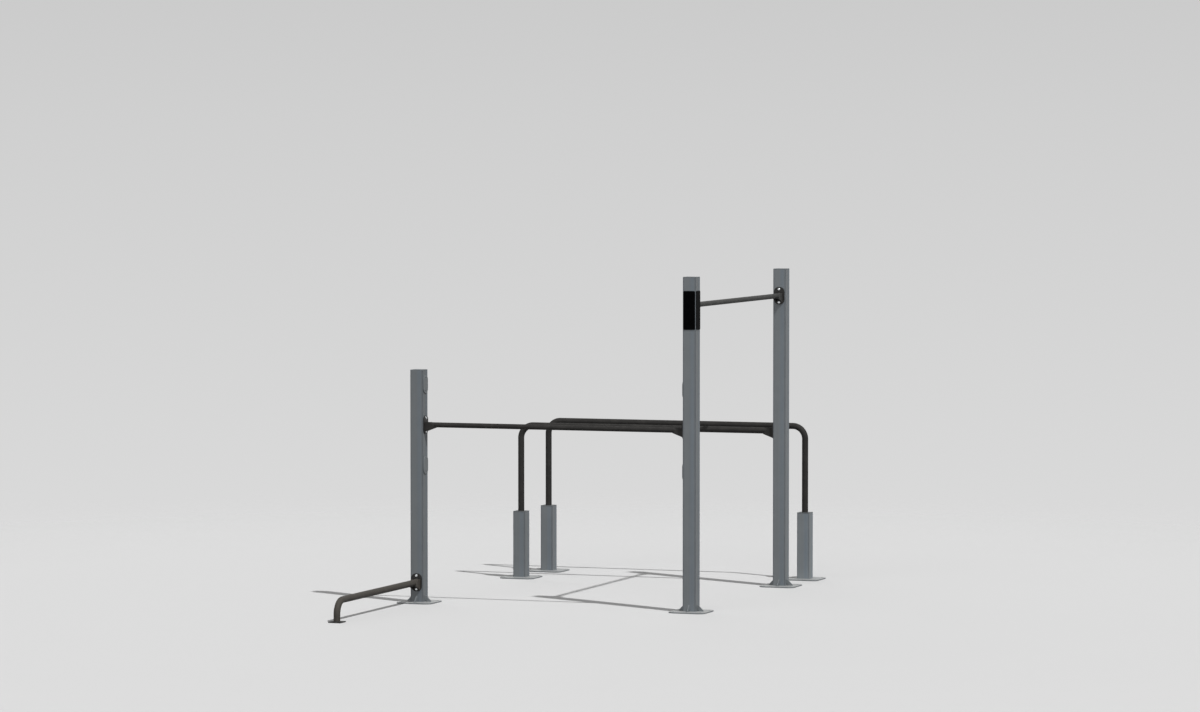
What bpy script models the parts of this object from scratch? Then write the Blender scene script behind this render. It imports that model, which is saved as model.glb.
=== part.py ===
"""Calisthenics station: three square posts, three pedestals and five steel bars, bolted together.

Metres, +Z up. X runs along the low bar, from the low post to the front tall post. Y runs along the
pull-up bar, from the front tall post to the rear one. The origin is on the ground, under the middle
of the front tall post.
"""

import math

import bmesh
import bpy
from mathutils import Matrix, Vector

# Fits
GAP = 0.0003  # between faces that touch or are welded on the real station
TURNED_STEPS = 16  # sides of bolts, inserts and their holes
ARC_STEPS = 4  # straight pieces in the quarter circle of a plate's corner
SMOOTH_BELOW = math.radians(35)  # edges that turn less than this are shaded smooth

# Layout on the ground, between the axes of posts and legs
LOW_BAR_SPAN = 2.140
PULL_UP_SPAN = 2.140
PARALLEL_LENGTH = 2.140
PARALLEL_SPACING = 0.615
PUSH_UP_REACH = 1.572

# Heights above the ground
TALL_POST_HEIGHT = 2.450
PULL_UP_DROP = 0.207  # from the tall posts' top to the pull-up bar's axis
LOW_BAR_HEIGHT = 1.328
SPARE_HEIGHT_STEP = 0.300  # from the low bar's axis to the spare fixings above and below it
SPARE_DROP = 0.110  # from the low post's top to its upper spare fixing
PARALLEL_HEIGHT = 1.200
PEDESTAL_HEIGHT = 0.526
PUSH_UP_HEIGHT = 0.155

# Square tube of the posts and pedestals
POST_SIZE = 0.100
POST_WALL = 0.003
POST_CORNER = 0.005

# Base plates and their anchor holes
BASE_SIZE = 0.280
BASE_THICKNESS = 0.008
BASE_CORNER = 0.050
ANCHOR_SPACING = 0.210
ANCHOR_HOLE = 0.018

# Ribs between a post and its base plate
RIB_LENGTH = 0.045
RIB_HEIGHT = 0.045
RIB_THICKNESS = 0.008
RIB_TOE = 0.006  # blunt ends of the slope
RIB_CLIP = 0.012  # inner corner cut away over the post's weld

# Moulded caps of the posts
CAP_THICKNESS = 0.005
CAP_ROUNDING = 0.0015
CAP_SKIRT_DEPTH = 0.022
CAP_SKIRT_WALL = 0.0025
CAP_SKIRT_ROOT = 0.001  # how far the skirt runs up into the cap

# Plates that hold a leg in its pedestal
TOP_PLATE_THICKNESS = 0.006
GUIDE_PLATE_THICKNESS = 0.006
LEG_DEPTH = 0.240  # how far the leg reaches into the pedestal
LEG_TIP = 0.004  # how far the leg shows under the guide plate

# Bars
GRIP_TUBE = 0.038  # pull-up bar and low bar
GRIP_WALL = 0.0035
FRAME_TUBE = 0.0483  # parallel bars and push-up bar
FRAME_WALL = 0.0032
BEND_RADIUS = 0.100
BEND_STEPS = 6
TUBE_ROUNDNESS = 8  # bevel resolution: the tube has four sides and two more for each step

# Flange plates, whose outline and holes the blanking plates copy
FLANGE_WIDTH = 0.083
FLANGE_HEIGHT = 0.132
FLANGE_THICKNESS = 0.008
BLANK_THICKNESS = 0.006
FLANGE_CORNER = 0.036
FLANGE_STEPS = 8  # straight pieces in each of its quarter circles
BOLT_SPACING = 0.099

# Foot plate of the push-up bar
FOOT_SIZE = 0.100
FOOT_THICKNESS = 0.008
FOOT_CORNER = 0.008
FOOT_HOLE = 0.009
FOOT_HOLE_SPACING = 0.074

# Gussets beside the end of a bar, measured from the flange and from the tube
GUSSET_THICKNESS = 0.005
GUSSET_LENGTH = 0.082
GUSSET_SHOULDER = 0.036
GUSSET_DROP = 0.031

# Dome-head bolts
BOLT_DIAMETER = 0.012
BOLT_LENGTH = 0.030
BOLT_PLAY = 0.0008  # round the bolt in its flange
HEAD_DIAMETER = 0.021
HEAD_HEIGHT = 0.0066
HEAD_RIM = 0.0012
SOCKET_ACROSS_FLATS = 0.008
SOCKET_DEPTH = 0.0035

# Countersunk screws of the blanking plates
SCREW_HEAD_DIAMETER = 0.021
SCREW_LENGTH = 0.026
SCREW_RECESS = 0.0005  # how far the head lies below the plate's face

# Threaded inserts in the post walls
INSERT_DIAMETER = 0.016
INSERT_LENGTH = 0.024
INSERT_COLLAR_DIAMETER = 0.020
INSERT_COLLAR_LENGTH = 0.004

# Sign plates on the front tall post
SIGN_WIDTH = 0.091
SIGN_HEIGHT = 0.283
SIGN_THICKNESS = 0.003
SIGN_CORNER = 0.010
SIGN_DROP = 0.102  # from the post's top to the sign's top

# Worked out from the sizes above
PULL_UP_HEIGHT = TALL_POST_HEIGHT - PULL_UP_DROP
LOW_POST_HEIGHT = LOW_BAR_HEIGHT + SPARE_HEIGHT_STEP + SPARE_DROP
HALF_POST = POST_SIZE / 2
LOW_POST_AT = Vector((-LOW_BAR_SPAN, 0, 0))
FRONT_POST_AT = Vector((0, 0, 0))
REAR_POST_AT = Vector((0, PULL_UP_SPAN, 0))
NEAR_LEG_AT = REAR_POST_AT - Vector((PARALLEL_LENGTH, 0, 0))
FAR_LEFT_LEG_AT = NEAR_LEG_AT + Vector((0, PARALLEL_SPACING, 0))
FAR_RIGHT_LEG_AT = REAR_POST_AT + Vector((0, PARALLEL_SPACING, 0))
PUSH_UP_LEG_AT = LOW_POST_AT - Vector((0, PUSH_UP_REACH, 0))
FLANGE_FACE = HALF_POST + GAP + FLANGE_THICKNESS  # from the post's axis to the flange's outer face
LEG_FOOT = PEDESTAL_HEIGHT - LEG_DEPTH
SPARE_HEIGHTS = {
    "upper": LOW_BAR_HEIGHT + SPARE_HEIGHT_STEP,
    "lower": LOW_BAR_HEIGHT - SPARE_HEIGHT_STEP,
}

# Turns about Z that bring a plate's face from -Y to the side named
FACING = {"front": 0.0, "right": math.pi / 2, "rear": math.pi, "left": -math.pi / 2}

for old in list(bpy.data.objects):
    bpy.data.objects.remove(old, do_unlink=True)

STATION = bpy.data.collections.new("calisthenics_station")
CUTTERS = bpy.data.collections.new("cutters")
bpy.context.scene.collection.children.link(STATION)
bpy.context.scene.collection.children.link(CUTTERS)


def paint(name, colour, roughness, metallic):
    """A Principled material; the colour is linear."""
    material = bpy.data.materials.new(name)
    material.use_nodes = True
    shader = material.node_tree.nodes["Principled BSDF"]
    shader.inputs["Base Color"].default_value = (*colour, 1.0)
    shader.inputs["Roughness"].default_value = roughness
    shader.inputs["Metallic"].default_value = metallic
    return material


POST_PAINT = paint("post_paint", (0.130, 0.145, 0.156), 0.45, 0.0)
BAR_PAINT = paint("bar_paint", (0.032, 0.031, 0.030), 0.40, 0.0)
CAP_PLASTIC = paint("cap_plastic", (0.100, 0.108, 0.112), 0.50, 0.0)
ZINC = paint("zinc", (0.62, 0.63, 0.64), 0.30, 1.0)
SIGN_BLACK = paint("sign_black", (0.010, 0.010, 0.011), 0.35, 0.0)


def finish(obj, material, parent=None, at=(0, 0, 0)):
    """Places an object, gives it its material and puts it among the station's parts."""
    obj.data.materials.clear()
    obj.data.materials.append(material)
    obj.location = at
    obj.parent = parent
    STATION.objects.link(obj)
    return obj


def fixing(name, post_at, facing, height):
    """An empty on a post's face. Its own Z points out of the face and its own Y points up."""
    turn = FACING[facing]
    outward = Matrix.Rotation(turn, 3, "Z") @ Vector((0, -HALF_POST, 0))
    empty = bpy.data.objects.new(name, None)
    empty.location = post_at + outward + Vector((0, 0, height))
    empty.rotation_euler = (math.pi / 2, 0, turn)
    STATION.objects.link(empty)
    return empty


def rounded_rectangle(width, height, corner, steps=ARC_STEPS):
    """Points of an outline whose four corners are quarter circles."""
    points = []
    for quarter in range(4):
        sign_x = 1 if quarter in (0, 3) else -1
        sign_y = 1 if quarter in (0, 1) else -1
        centre = Vector((sign_x * (width / 2 - corner), sign_y * (height / 2 - corner)))
        for step in range(steps + 1):
            angle = math.radians(90) * (quarter + step / steps)
            points.append(centre + corner * Vector((math.cos(angle), math.sin(angle))))
    return points


def circle(radius, x=0.0, y=0.0, steps=TURNED_STEPS):
    """Points of a circle as a polygon."""
    angles = [math.tau * step / steps for step in range(steps)]
    return [Vector((x + radius * math.cos(angle), y + radius * math.sin(angle))) for angle in angles]


def plate_curve(name, outlines, thickness):
    """A flat plate: the first outline is its edge, the others are holes."""
    curve = bpy.data.curves.new(name, "CURVE")
    curve.dimensions = "2D"
    curve.fill_mode = "BOTH"
    curve.extrude = thickness / 2
    for outline in outlines:
        spline = curve.splines.new("POLY")
        spline.points.add(len(outline) - 1)
        for point, place in zip(spline.points, outline):
            point.co = (place.x, place.y, 0, 1)
        spline.use_cyclic_u = True
    return bpy.data.objects.new(name, curve)


def evaluated_mesh(obj):
    """The object's mesh with its modifiers applied and loose caps welded; the object is removed."""
    bpy.context.scene.collection.objects.link(obj)
    bpy.context.view_layer.update()
    graph = bpy.context.evaluated_depsgraph_get()
    mesh = bpy.data.meshes.new_from_object(obj.evaluated_get(graph))
    welded = bmesh.new()
    welded.from_mesh(mesh)
    bmesh.ops.remove_doubles(welded, verts=welded.verts, dist=1e-6)
    welded.to_mesh(mesh)
    welded.free()
    mesh.shade_smooth()
    mesh.set_sharp_from_angle(angle=SMOOTH_BELOW)
    name = obj.name
    bpy.data.batch_remove([obj.data, obj])
    mesh.name = name
    return mesh


def plate_mesh(name, outlines, thickness):
    """The same plate as a mesh object, for a piece that is cut or joined."""
    mesh = evaluated_mesh(plate_curve(name, outlines, thickness))
    return bpy.data.objects.new(name, mesh)


def turned(name, profile, steps=TURNED_STEPS):
    """A profile of (radius, height) points, top to bottom, turned about Z."""
    mesh = bpy.data.meshes.new(name)
    edges = [(start, start + 1) for start in range(len(profile) - 1)]
    mesh.from_pydata([(radius, 0, height) for radius, height in profile], edges, [])
    obj = bpy.data.objects.new(name, mesh)
    screw = obj.modifiers.new("turn", "SCREW")
    screw.steps = steps
    screw.render_steps = steps
    screw.use_merge_vertices = True
    screw.merge_threshold = 0.00001
    screw.use_smooth_shade = True
    return obj


def repeated(name, mesh, places):
    """One object that holds a separate copy of a mesh at each place."""
    group = bmesh.new()
    for place in places:
        before = len(group.verts)
        group.from_mesh(mesh)
        group.verts.ensure_lookup_table()
        bmesh.ops.transform(group, matrix=place, verts=group.verts[before:])
    result = bpy.data.meshes.new(name)
    group.to_mesh(result)
    group.free()
    return bpy.data.objects.new(name, result)


def combine(obj, helper, operation):
    """Cuts a helper's shape out of the object, or welds it on."""
    helper.hide_render = True
    helper.display_type = "WIRE"
    CUTTERS.objects.link(helper)
    boolean = obj.modifiers.new(operation.lower(), "BOOLEAN")
    boolean.operation = operation
    boolean.object = helper


def crisp(obj):
    """Keeps the shading of wide flat faces flat beside small rounded corners."""
    weighted = obj.modifiers.new("crisp", "WEIGHTED_NORMAL")
    weighted.keep_sharp = True


def bolt_places(depth=0.0):
    """The places of a fixing's two bolts, whose own Z points out of the post's face."""
    return [Matrix.Translation((0, sign * BOLT_SPACING / 2, depth)) for sign in (1, -1)]


def tube_bar(name, path, diameter, wall):
    """A hollow bar along a path of points; its wall lies inside the diameter."""
    curve = bpy.data.curves.new(name, "CURVE")
    curve.dimensions = "3D"
    curve.bevel_depth = diameter / 2
    curve.bevel_resolution = TUBE_ROUNDNESS
    spline = curve.splines.new("POLY")
    spline.points.add(len(path) - 1)
    for point, place in zip(spline.points, path):
        point.co = (*place, 1)
    spline.use_smooth = True
    obj = bpy.data.objects.new(name, curve)
    shell = obj.modifiers.new("wall", "SOLIDIFY")
    shell.thickness = wall
    shell.offset = -1
    shell.use_even_offset = True
    return obj


def bend(corner, incoming, outgoing):
    """Points of a quarter-circle bend whose straight sides would meet at a corner."""
    centre = corner + BEND_RADIUS * (outgoing - incoming)
    points = []
    for step in range(BEND_STEPS + 1):
        angle = math.radians(90) * step / BEND_STEPS
        points.append(centre - BEND_RADIUS * (math.cos(angle) * outgoing - math.sin(angle) * incoming))
    return points


POST_OUTLINE = rounded_rectangle(POST_SIZE, POST_SIZE, POST_CORNER)
POST_BORE = rounded_rectangle(
    POST_SIZE - 2 * POST_WALL, POST_SIZE - 2 * POST_WALL, POST_CORNER - POST_WALL
)


def place_of(empty):
    """The empty's place in the world, worked out from its location and rotation."""
    return Matrix.LocRotScale(empty.location, empty.rotation_euler, None)


def square_tube(name, at, bottom, top):
    """A length of the square tube, standing between two heights."""
    tube = plate_mesh(name, [POST_OUTLINE, POST_BORE], top - bottom)
    return finish(tube, POST_PAINT, at=at + Vector((0, 0, (bottom + top) / 2)))


def base_plate(name, at):
    """A square plate on the ground with a hole for an anchor in each corner."""
    reach = ANCHOR_SPACING / 2
    holes = [circle(ANCHOR_HOLE / 2, x, y) for x in (-reach, reach) for y in (-reach, reach)]
    outline = rounded_rectangle(BASE_SIZE, BASE_SIZE, BASE_CORNER)
    plate = plate_mesh(name, [outline, *holes], BASE_THICKNESS)
    return finish(plate, POST_PAINT, at=at + Vector((0, 0, BASE_THICKNESS / 2)))


def base_ribs(name, at):
    """Four upright triangular ribs for a base plate, one at the middle of each face of the post."""
    root = HALF_POST + GAP
    sunk = BASE_THICKNESS / 2
    outline = [
        Vector((root + RIB_CLIP, sunk)),
        Vector((root + RIB_LENGTH, sunk)),
        Vector((root + RIB_LENGTH, BASE_THICKNESS + RIB_TOE)),
        Vector((root + RIB_TOE, BASE_THICKNESS + RIB_HEIGHT)),
        Vector((root, BASE_THICKNESS + RIB_HEIGHT)),
        Vector((root, BASE_THICKNESS + RIB_CLIP)),
        Vector((root + RIB_CLIP, BASE_THICKNESS)),
    ]
    rib = evaluated_mesh(plate_curve(name, [outline], RIB_THICKNESS))
    upright = Matrix.Rotation(math.pi / 2, 4, "X")
    places = [Matrix.Rotation(turn, 4, "Z") @ upright for turn in FACING.values()]
    ribs = repeated(name, rib, places)
    ribs.location = at
    return ribs


def post_cap(name, at, top):
    """A moulded cap that covers the tube's end, with a skirt that fits inside the bore."""
    cap = plate_mesh(name, [POST_OUTLINE], CAP_THICKNESS)
    rounding = cap.modifiers.new("rounding", "BEVEL")
    rounding.width = CAP_ROUNDING
    rounding.segments = 2
    rounding.limit_method = "ANGLE"
    rounding.angle_limit = math.radians(60)
    outer = POST_SIZE - 2 * POST_WALL - 2 * GAP
    inner = outer - 2 * CAP_SKIRT_WALL
    corner = POST_CORNER - POST_WALL
    ring = [rounded_rectangle(outer, outer, corner), rounded_rectangle(inner, inner, corner)]
    skirt = plate_mesh(name + "_skirt", ring, CAP_SKIRT_DEPTH + CAP_SKIRT_ROOT)
    skirt.location = (0, 0, -(CAP_THICKNESS + CAP_SKIRT_DEPTH - CAP_SKIRT_ROOT) / 2)
    skirt.parent = finish(cap, CAP_PLASTIC, at=at + Vector((0, 0, top - CAP_THICKNESS / 2)))
    combine(cap, skirt, "UNION")
    crisp(cap)


def inserts(name, places):
    """Inserts pressed into a post's wall, still without their bores."""
    collar = -POST_WALL - INSERT_COLLAR_LENGTH
    profile = [
        (0, -POST_WALL / 2),
        (INSERT_COLLAR_DIAMETER / 2, -POST_WALL / 2),
        (INSERT_COLLAR_DIAMETER / 2, collar),
        (INSERT_DIAMETER / 2, collar),
        (INSERT_DIAMETER / 2, -INSERT_LENGTH),
        (0, -INSERT_LENGTH),
    ]
    return repeated(name, evaluated_mesh(turned(name + "_one", profile)), places)


def bores(name, places):
    """Cutters for the bores of a post's inserts, right through them."""
    radius = BOLT_DIAMETER / 2 + GAP
    top = POST_WALL
    bottom = -INSERT_LENGTH - POST_WALL
    profile = [(0, top), (radius, top), (radius, bottom), (0, bottom)]
    return repeated(name, evaluated_mesh(turned(name + "_one", profile)), places)


def post(name, at, height, fixings):
    """A post with its inserts, its cap, and its base plate with ribs."""
    tube_top = height - CAP_THICKNESS - GAP
    tube = square_tube(name, at, BASE_THICKNESS + GAP, tube_top)
    places = [place_of(spot) @ bolt for spot in fixings for bolt in bolt_places()]
    combine(tube, inserts(name + "_inserts", places), "UNION")
    combine(tube, bores(name + "_bores", places), "DIFFERENCE")
    crisp(tube)
    post_cap(name + "_cap", at, height)
    plate = base_plate(name + "_base_plate", at)
    combine(plate, base_ribs(name + "_base_ribs", at), "UNION")


def pedestal(name, at):
    """A short post whose top plate and guide plate hold a leg of a parallel bar."""
    tube_top = PEDESTAL_HEIGHT - TOP_PLATE_THICKNESS - GAP
    crisp(square_tube(name, at, BASE_THICKNESS + GAP, tube_top))
    base_plate(name + "_base_plate", at)

    leg_hole = circle(FRAME_TUBE / 2 + GAP, steps=4 + 2 * TUBE_ROUNDNESS)
    top = plate_curve(name + "_top_plate", [POST_OUTLINE, leg_hole], TOP_PLATE_THICKNESS)
    finish(top, POST_PAINT, at=at + Vector((0, 0, PEDESTAL_HEIGHT - TOP_PLATE_THICKNESS / 2)))

    guide_size = POST_SIZE - 2 * POST_WALL - 2 * GAP
    outline = rounded_rectangle(guide_size, guide_size, POST_CORNER - POST_WALL)
    guide = plate_curve(name + "_guide_plate", [outline, leg_hole], GUIDE_PLATE_THICKNESS)
    height = LEG_FOOT + LEG_TIP + GUIDE_PLATE_THICKNESS / 2
    finish(guide, BAR_PAINT, at=at + Vector((0, 0, height)))


def bolt_mesh():
    """A dome-head bolt with a hexagon socket. Z is 0 under its head."""
    radius = HEAD_DIAMETER / 2
    rise = HEAD_HEIGHT - HEAD_RIM
    bolt = turned(
        "bolt",
        [
            (0, HEAD_HEIGHT),
            (radius * math.sin(math.radians(45)), HEAD_RIM + rise * math.cos(math.radians(45))),
            (radius, HEAD_RIM),
            (radius, 0),
            (BOLT_DIAMETER / 2, 0),
            (BOLT_DIAMETER / 2, -BOLT_LENGTH),
            (0, -BOLT_LENGTH),
        ],
    )
    socket_radius = SOCKET_ACROSS_FLATS / 2 / math.cos(math.radians(30))
    socket = turned(
        "socket",
        [
            (0, HEAD_HEIGHT + SOCKET_DEPTH),
            (socket_radius, HEAD_HEIGHT + SOCKET_DEPTH),
            (socket_radius, HEAD_HEIGHT - SOCKET_DEPTH),
            (0, HEAD_HEIGHT - SOCKET_DEPTH),
        ],
        steps=6,
    )
    cutter = bpy.data.objects.new("socket", evaluated_mesh(socket))
    combine(bolt, cutter, "DIFFERENCE")
    mesh = evaluated_mesh(bolt)
    bpy.data.objects.remove(cutter, do_unlink=True)
    return mesh


def screw_mesh():
    """A countersunk screw with a flat head. Z is 0 on the head's face."""
    head = SCREW_HEAD_DIAMETER / 2
    shank = BOLT_DIAMETER / 2
    screw = turned(
        "screw",
        [
            (0, 0),
            (head, 0),
            (shank, shank - head),
            (shank, -SCREW_LENGTH),
            (0, -SCREW_LENGTH),
        ],
    )
    return evaluated_mesh(screw)


def gussets(name, diameter):
    """Two kite-shaped plates, one along each side of the tube, which leave the lower bolt free."""
    face = GAP + FLANGE_THICKNESS
    sunk = face - FLANGE_THICKNESS / 2
    top = diameter / 2
    bottom = -diameter / 2
    outline = [
        Vector((sunk, top)),
        Vector((sunk, bottom - GUSSET_DROP)),
        Vector((face, bottom - GUSSET_DROP)),
        Vector((face + GUSSET_LENGTH, bottom)),
        Vector((face + GUSSET_SHOULDER, top)),
    ]
    cheek = evaluated_mesh(plate_curve(name, [outline], GUSSET_THICKNESS))
    along_tube = Matrix.Rotation(-math.pi / 2, 4, "Y")
    side = diameter / 2 + GAP + GUSSET_THICKNESS / 2
    places = [Matrix.Translation((sign * side, 0, 0)) @ along_tube for sign in (1, -1)]
    return repeated(name, cheek, places)


def bracket(name, spot, diameter):
    """The flange that lies on the post's face at a bar's end, with the gussets welded to it."""
    edge = rounded_rectangle(FLANGE_WIDTH, FLANGE_HEIGHT, FLANGE_CORNER, steps=FLANGE_STEPS)
    hole = BOLT_DIAMETER / 2 + BOLT_PLAY
    holes = [circle(hole, y=sign * BOLT_SPACING / 2) for sign in (1, -1)]
    plate = plate_mesh(name, [edge, *holes], FLANGE_THICKNESS)
    finish(plate, BAR_PAINT, parent=spot, at=(0, 0, GAP + FLANGE_THICKNESS / 2))
    cheeks = gussets(name + "_gussets", diameter)
    cheeks.parent = spot
    combine(plate, cheeks, "UNION")


def fasteners(name, mesh, material, spot, depth):
    """The upper and the lower bolt or screw of a fixing."""
    for level, place in zip(("upper", "lower"), bolt_places(depth)):
        fastener = bpy.data.objects.new(f"{name}_{level}_{mesh.name}", mesh)
        finish(fastener, material, parent=spot, at=place.translation)


def bar_end(name, spot, diameter):
    """The bracket and bolts of one end of a bar."""
    bracket(name + "_bracket", spot, diameter)
    fasteners(name, BOLT, ZINC, spot, 2 * GAP + FLANGE_THICKNESS)


def blanking_plate(name, spot):
    """A plate over a spare fixing, countersunk for its two screws."""
    edge = rounded_rectangle(FLANGE_WIDTH, FLANGE_HEIGHT, FLANGE_CORNER, steps=FLANGE_STEPS)
    plate = plate_mesh(name, [edge], BLANK_THICKNESS)
    middle = GAP + BLANK_THICKNESS / 2
    face = BLANK_THICKNESS / 2
    head = SCREW_HEAD_DIAMETER / 2 + GAP
    shank = BOLT_DIAMETER / 2 + BOLT_PLAY
    sink = face - SCREW_RECESS
    hole = turned(
        name + "_hole",
        [
            (0, face + GAP),
            (head, face + GAP),
            (head, sink),
            (shank, sink + shank - head),
            (shank, -face - GAP),
            (0, -face - GAP),
        ],
    )
    holes = repeated(name + "_holes", evaluated_mesh(hole), bolt_places())
    holes.parent = finish(plate, POST_PAINT, parent=spot, at=(0, 0, middle))
    combine(plate, holes, "DIFFERENCE")
    fasteners(name, SCREW, POST_PAINT, spot, GAP + BLANK_THICKNESS - SCREW_RECESS)


def sign_plate(name, facing):
    """A thin bare plate on a face of the front tall post."""
    height = TALL_POST_HEIGHT - SIGN_DROP - SIGN_HEIGHT / 2
    spot = fixing(name + "_place", FRONT_POST_AT, facing, height)
    plate = plate_curve(name, [rounded_rectangle(SIGN_WIDTH, SIGN_HEIGHT, SIGN_CORNER)], SIGN_THICKNESS)
    finish(plate, SIGN_BLACK, parent=spot, at=(0, 0, GAP + SIGN_THICKNESS / 2))


def foot_plate(name, at):
    """The plate under the push-up bar's leg, with a hole for an anchor in each corner."""
    reach = FOOT_HOLE_SPACING / 2
    holes = [circle(FOOT_HOLE / 2, x, y) for x in (-reach, reach) for y in (-reach, reach)]
    outline = rounded_rectangle(FOOT_SIZE, FOOT_SIZE, FOOT_CORNER)
    plate = plate_curve(name, [outline, *holes], FOOT_THICKNESS)
    finish(plate, BAR_PAINT, at=at + Vector((0, 0, FOOT_THICKNESS / 2)))


BOLT = bolt_mesh()
SCREW = screw_mesh()

# Places on the posts' faces where bars and blanking plates are fixed
PULL_UP_FRONT = fixing("pull_up_bar_front_place", FRONT_POST_AT, "rear", PULL_UP_HEIGHT)
PULL_UP_REAR = fixing("pull_up_bar_rear_place", REAR_POST_AT, "front", PULL_UP_HEIGHT)
LOW_BAR_LEFT = fixing("low_bar_left_place", LOW_POST_AT, "right", LOW_BAR_HEIGHT)
LOW_BAR_RIGHT = fixing("low_bar_right_place", FRONT_POST_AT, "left", LOW_BAR_HEIGHT)
NEAR_PARALLEL = fixing("near_parallel_bar_place", REAR_POST_AT, "left", PARALLEL_HEIGHT)
PUSH_UP = fixing("push_up_bar_place", LOW_POST_AT, "front", PUSH_UP_HEIGHT)
LOW_POST_SPARES = {
    level: fixing(f"low_post_{level}_spare", LOW_POST_AT, "right", height)
    for level, height in SPARE_HEIGHTS.items()
}
FRONT_POST_SPARES = {
    level: fixing(f"front_tall_post_{level}_spare", FRONT_POST_AT, "left", height)
    for level, height in SPARE_HEIGHTS.items()
}

# Posts and pedestals
post("low_post", LOW_POST_AT, LOW_POST_HEIGHT, [LOW_BAR_LEFT, PUSH_UP, *LOW_POST_SPARES.values()])
post(
    "front_tall_post",
    FRONT_POST_AT,
    TALL_POST_HEIGHT,
    [LOW_BAR_RIGHT, PULL_UP_FRONT, *FRONT_POST_SPARES.values()],
)
post("rear_tall_post", REAR_POST_AT, TALL_POST_HEIGHT, [PULL_UP_REAR, NEAR_PARALLEL])
pedestal("near_pedestal", NEAR_LEG_AT)
pedestal("far_left_pedestal", FAR_LEFT_LEG_AT)
pedestal("far_right_pedestal", FAR_RIGHT_LEG_AT)

# Blanking plates and their screws
for post_name, spares in (("low_post", LOW_POST_SPARES), ("front_tall_post", FRONT_POST_SPARES)):
    for level, spot in spares.items():
        blanking_plate(f"{post_name}_{level}_blanking_plate", spot)

# Bar ends
bar_end("pull_up_bar_front", PULL_UP_FRONT, GRIP_TUBE)
bar_end("pull_up_bar_rear", PULL_UP_REAR, GRIP_TUBE)
bar_end("low_bar_left", LOW_BAR_LEFT, GRIP_TUBE)
bar_end("low_bar_right", LOW_BAR_RIGHT, GRIP_TUBE)
bar_end("near_parallel_bar", NEAR_PARALLEL, FRAME_TUBE)
bar_end("push_up_bar", PUSH_UP, FRAME_TUBE)
foot_plate("push_up_bar_foot_plate", PUSH_UP_LEG_AT)

# Bars
UP = Vector((0, 0, 1))
ALONG_X = Vector((1, 0, 0))
ALONG_Y = Vector((0, 1, 0))
END = FLANGE_FACE + GAP  # from a post's axis to the end of a bar

pull_up_path = [
    FRONT_POST_AT + END * ALONG_Y + PULL_UP_HEIGHT * UP,
    REAR_POST_AT - END * ALONG_Y + PULL_UP_HEIGHT * UP,
]
finish(tube_bar("pull_up_bar", pull_up_path, GRIP_TUBE, GRIP_WALL), BAR_PAINT)

low_path = [
    LOW_POST_AT + END * ALONG_X + LOW_BAR_HEIGHT * UP,
    FRONT_POST_AT - END * ALONG_X + LOW_BAR_HEIGHT * UP,
]
finish(tube_bar("low_bar", low_path, GRIP_TUBE, GRIP_WALL), BAR_PAINT)

near_path = [
    NEAR_LEG_AT + LEG_FOOT * UP,
    *bend(NEAR_LEG_AT + PARALLEL_HEIGHT * UP, UP, ALONG_X),
    REAR_POST_AT - END * ALONG_X + PARALLEL_HEIGHT * UP,
]
finish(tube_bar("near_parallel_bar", near_path, FRAME_TUBE, FRAME_WALL), BAR_PAINT)

far_path = [
    FAR_LEFT_LEG_AT + LEG_FOOT * UP,
    *bend(FAR_LEFT_LEG_AT + PARALLEL_HEIGHT * UP, UP, ALONG_X),
    *bend(FAR_RIGHT_LEG_AT + PARALLEL_HEIGHT * UP, ALONG_X, -UP),
    FAR_RIGHT_LEG_AT + LEG_FOOT * UP,
]
finish(tube_bar("far_parallel_bar", far_path, FRAME_TUBE, FRAME_WALL), BAR_PAINT)

push_up_path = [
    PUSH_UP_LEG_AT + (FOOT_THICKNESS + GAP) * UP,
    *bend(PUSH_UP_LEG_AT + PUSH_UP_HEIGHT * UP, UP, ALONG_Y),
    LOW_POST_AT - END * ALONG_Y + PUSH_UP_HEIGHT * UP,
]
finish(tube_bar("push_up_bar", push_up_path, FRAME_TUBE, FRAME_WALL), BAR_PAINT)

# Sign plates
sign_plate("front_sign_plate", "front")
sign_plate("side_sign_plate", "right")
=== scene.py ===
"""The looks of the calisthenics station: painted posts, dark bars, bright bolts and bare signs.

Metres, +Z up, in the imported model's own frame: X runs along the low bar, Y along the pull-up bar,
and the ground is at Z = 0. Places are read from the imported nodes. The sizes named here are the fine
ones, which the nodes' boxes don't give.
"""

import math

import bmesh
import bpy
import numpy as np
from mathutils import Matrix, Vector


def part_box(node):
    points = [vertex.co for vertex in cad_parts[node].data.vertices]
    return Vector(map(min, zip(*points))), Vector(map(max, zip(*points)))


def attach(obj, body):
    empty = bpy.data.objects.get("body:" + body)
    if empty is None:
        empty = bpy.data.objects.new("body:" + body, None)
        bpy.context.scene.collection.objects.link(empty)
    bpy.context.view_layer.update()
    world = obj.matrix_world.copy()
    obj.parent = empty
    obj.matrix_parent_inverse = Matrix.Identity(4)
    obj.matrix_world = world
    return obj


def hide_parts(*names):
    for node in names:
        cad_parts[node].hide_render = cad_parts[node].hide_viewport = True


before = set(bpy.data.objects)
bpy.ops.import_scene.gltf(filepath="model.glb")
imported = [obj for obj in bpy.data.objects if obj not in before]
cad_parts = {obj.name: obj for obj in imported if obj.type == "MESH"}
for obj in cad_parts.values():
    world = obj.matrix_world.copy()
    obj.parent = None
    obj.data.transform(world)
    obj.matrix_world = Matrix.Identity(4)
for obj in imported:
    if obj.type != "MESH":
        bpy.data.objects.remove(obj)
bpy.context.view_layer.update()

# How finely round shapes are cut
CORNER_STEPS = 10  # in the quarter circle of a tube's or plate's corner
EDGE_STEPS = 4  # in the rounding of a plate's edge
ROUND_STEPS = 48  # round bolts, screws and inserts
TUBE_STEPS = 64  # round a bar
BAR_STEPS = 8  # along a straight bar
BEND_STEPS = 28  # along a bend
BEAD_STEPS = 10  # round a weld bead
BEAD_LEAST = 4  # parts along a bead, however short
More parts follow.
